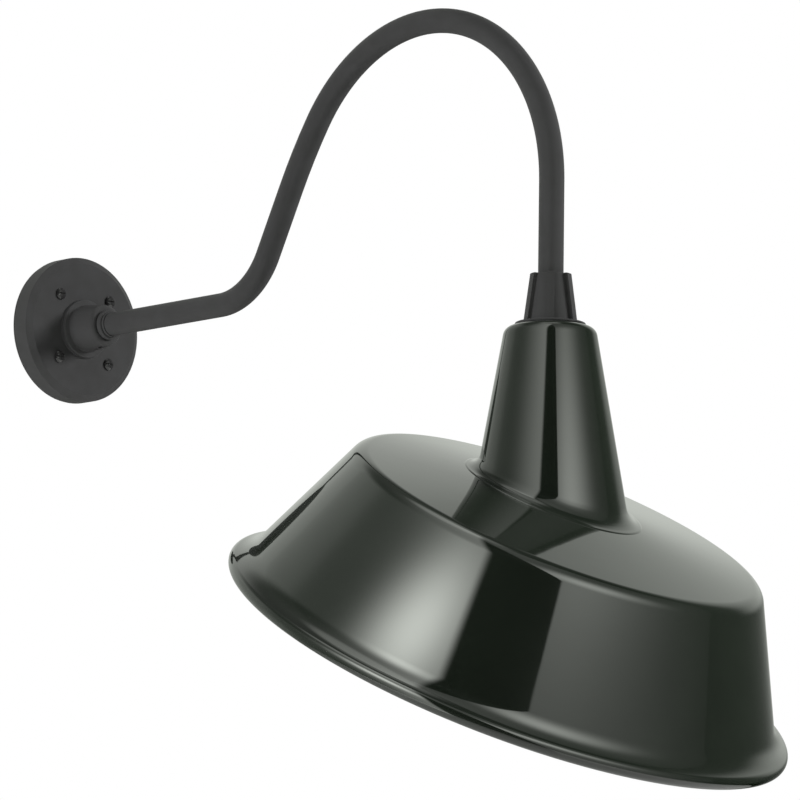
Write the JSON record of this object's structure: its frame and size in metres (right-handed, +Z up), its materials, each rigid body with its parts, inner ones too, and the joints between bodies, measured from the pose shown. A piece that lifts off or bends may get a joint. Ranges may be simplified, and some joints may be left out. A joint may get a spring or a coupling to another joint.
{
  "type": "gooseneck wall sconce",
  "caption": "Wall sconce with a bent gooseneck pipe arm on a round cast wall plate and a tilted, deep bowl shade under a ribbed fitter.",
  "frame": {"origin": "centre of the wall plate on the wall's surface", "axes": "+Z up, the arm comes out of the wall along -Y, and the arm and the shade's axis lie in the plane X = 0"},
  "size_m": [0.4928, 0.8109, 0.6883],
  "materials": {
    "matte_black": "matte",
    "gloss_black_enamel": "glossy",
    "black_screw": "satin",
    "zinc_steel": "satin",
    "gasket_rubber": "matte",
    "lead_black": "satin",
    "lead_white": "satin",
    "lead_green": "satin",
    "ground_green": "satin",
    "connector_plastic": "matte",
    "porcelain": "glossy",
    "brass": "satin",
    "lamp_cap_metal": "satin",
    "black_glass": "glossy",
    "lamp_glass": "glossy",
    "stem_glass": "glossy",
    "support_wire": "satin"
  },
  "bodies": {
    "arm_body": {"wall_plate": "matte_black", "wall_gasket": "gasket_rubber", "wall_screws": "black_screw", "hub_set_screw": "black_screw", "lock_ring": "matte_black", "arm": "matte_black", "supply_lead_black": "lead_black", "supply_lead_white": "lead_white", "ground_lead": "lead_green", "ground_screw": "ground_green", "wire_connectors": "connector_plastic"},
    "shade": {"fitter": "matte_black", "fitter_set_screws": "black_screw", "flange_seal": "gasket_rubber", "shade_neck": "gloss_black_enamel", "shade_bowl": "gloss_black_enamel", "socket_bracket": "zinc_steel", "bracket_screws": "zinc_steel", "holder_body": "porcelain", "holder_screws": "zinc_steel", "holder_shell": "brass", "holder_contact": "brass", "terminal_screws": "brass", "holder_lead_black": "lead_black", "holder_lead_white": "lead_white"},
    "lamp_carrier": {"lamp_contact": "lamp_cap_metal"},
    "lamp": {"lamp_insulator": "black_glass", "lamp_cap": "lamp_cap_metal", "lamp_glass": "lamp_glass", "lamp_stem": "stem_glass", "lamp_supports": "support_wire", "lamp_filament": "support_wire"}
  },
  "joints": [
    {"name": "shade_aim", "type": "hinge", "parent": "arm_body", "child": "shade", "pos_m": [0, -0.62617, -0.05], "axis": [0, 0, 1], "range_deg": [-180, 180]},
    {"name": "lamp_travel", "type": "slide", "parent": "shade", "child": "lamp_carrier", "axis": [0, 0, -1], "range_m": [0, 0.0255]},
    {"name": "lamp_turn", "type": "hinge", "parent": "lamp_carrier", "child": "lamp", "pos_m": [0, -0.62617, -0.12], "axis": [0, 0, -1], "range_deg": [0, 2520]}
  ],
  "couplings": [
    {"joint": "lamp_travel", "follows": "lamp_turn", "m_per_rad": 0.00057757}
  ]
}
